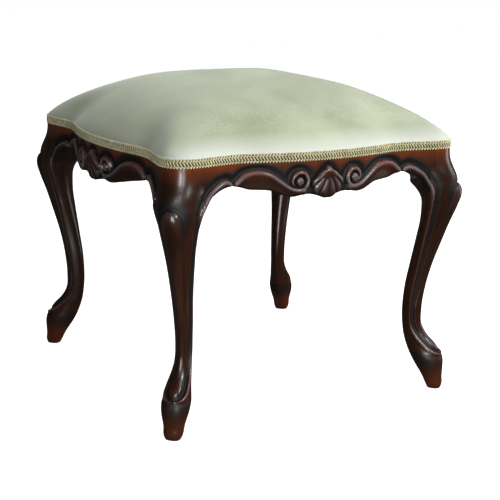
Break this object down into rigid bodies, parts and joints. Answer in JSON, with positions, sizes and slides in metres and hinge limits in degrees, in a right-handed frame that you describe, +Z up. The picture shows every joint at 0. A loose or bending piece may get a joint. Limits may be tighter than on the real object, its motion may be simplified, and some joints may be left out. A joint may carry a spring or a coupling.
{
  "type": "upholstered pouf stool",
  "caption": "Low square pouf on carved cabriole legs with shell aprons, a crowned velvet seat and a braid edge.",
  "frame": {"origin": "on the floor under the middle of the seat", "axes": "+Z up, the vertical axis that the stool is symmetric about; front is -Y"},
  "size_m": [0.5118, 0.5218, 0.4807],
  "materials": {
    "mahogany": "satin dark mahogany polish",
    "beech": "raw beech",
    "velvet": "pale sage green velvet",
    "braid": "woven olive-gold braid",
    "wadding": "matt polyester wadding",
    "foam": "matt foam",
    "hessian": "coarse jute cloth",
    "webbing": "woven jute webbing",
    "dust_cloth": "matt black cloth",
    "screw_steel": "zinc plated",
    "tack_steel": "blued steel"
  },
  "bodies": {
    "root": {"apron_back": "mahogany", "apron_dowels": "beech", "apron_front": "mahogany", "apron_left": "mahogany", "apron_right": "mahogany", "corner_block_back_left": "beech", "corner_block_back_right": "beech", "corner_block_front_left": "beech", "corner_block_front_right": "beech", "corner_block_screws": "screw_steel", "cover_tacks": "tack_steel", "dust_cover": "dust_cloth", "dust_cover_staples": "tack_steel", "gimp_braid": "braid", "hessian": "hessian", "leg_back_left": "mahogany", "leg_back_right": "mahogany", "leg_front_left": "mahogany", "leg_front_right": "mahogany", "seat_foam": "foam", "velvet_cover": "velvet", "wadding": "wadding", "webbing_across_1": "webbing", "webbing_across_2": "webbing", "webbing_across_3": "webbing", "webbing_across_4": "webbing", "webbing_across_5": "webbing", "webbing_along_1": "webbing", "webbing_along_2": "webbing", "webbing_along_3": "webbing", "webbing_along_4": "webbing", "webbing_along_5": "webbing", "webbing_tacks": "tack_steel"}
  },
  "joints": []
}
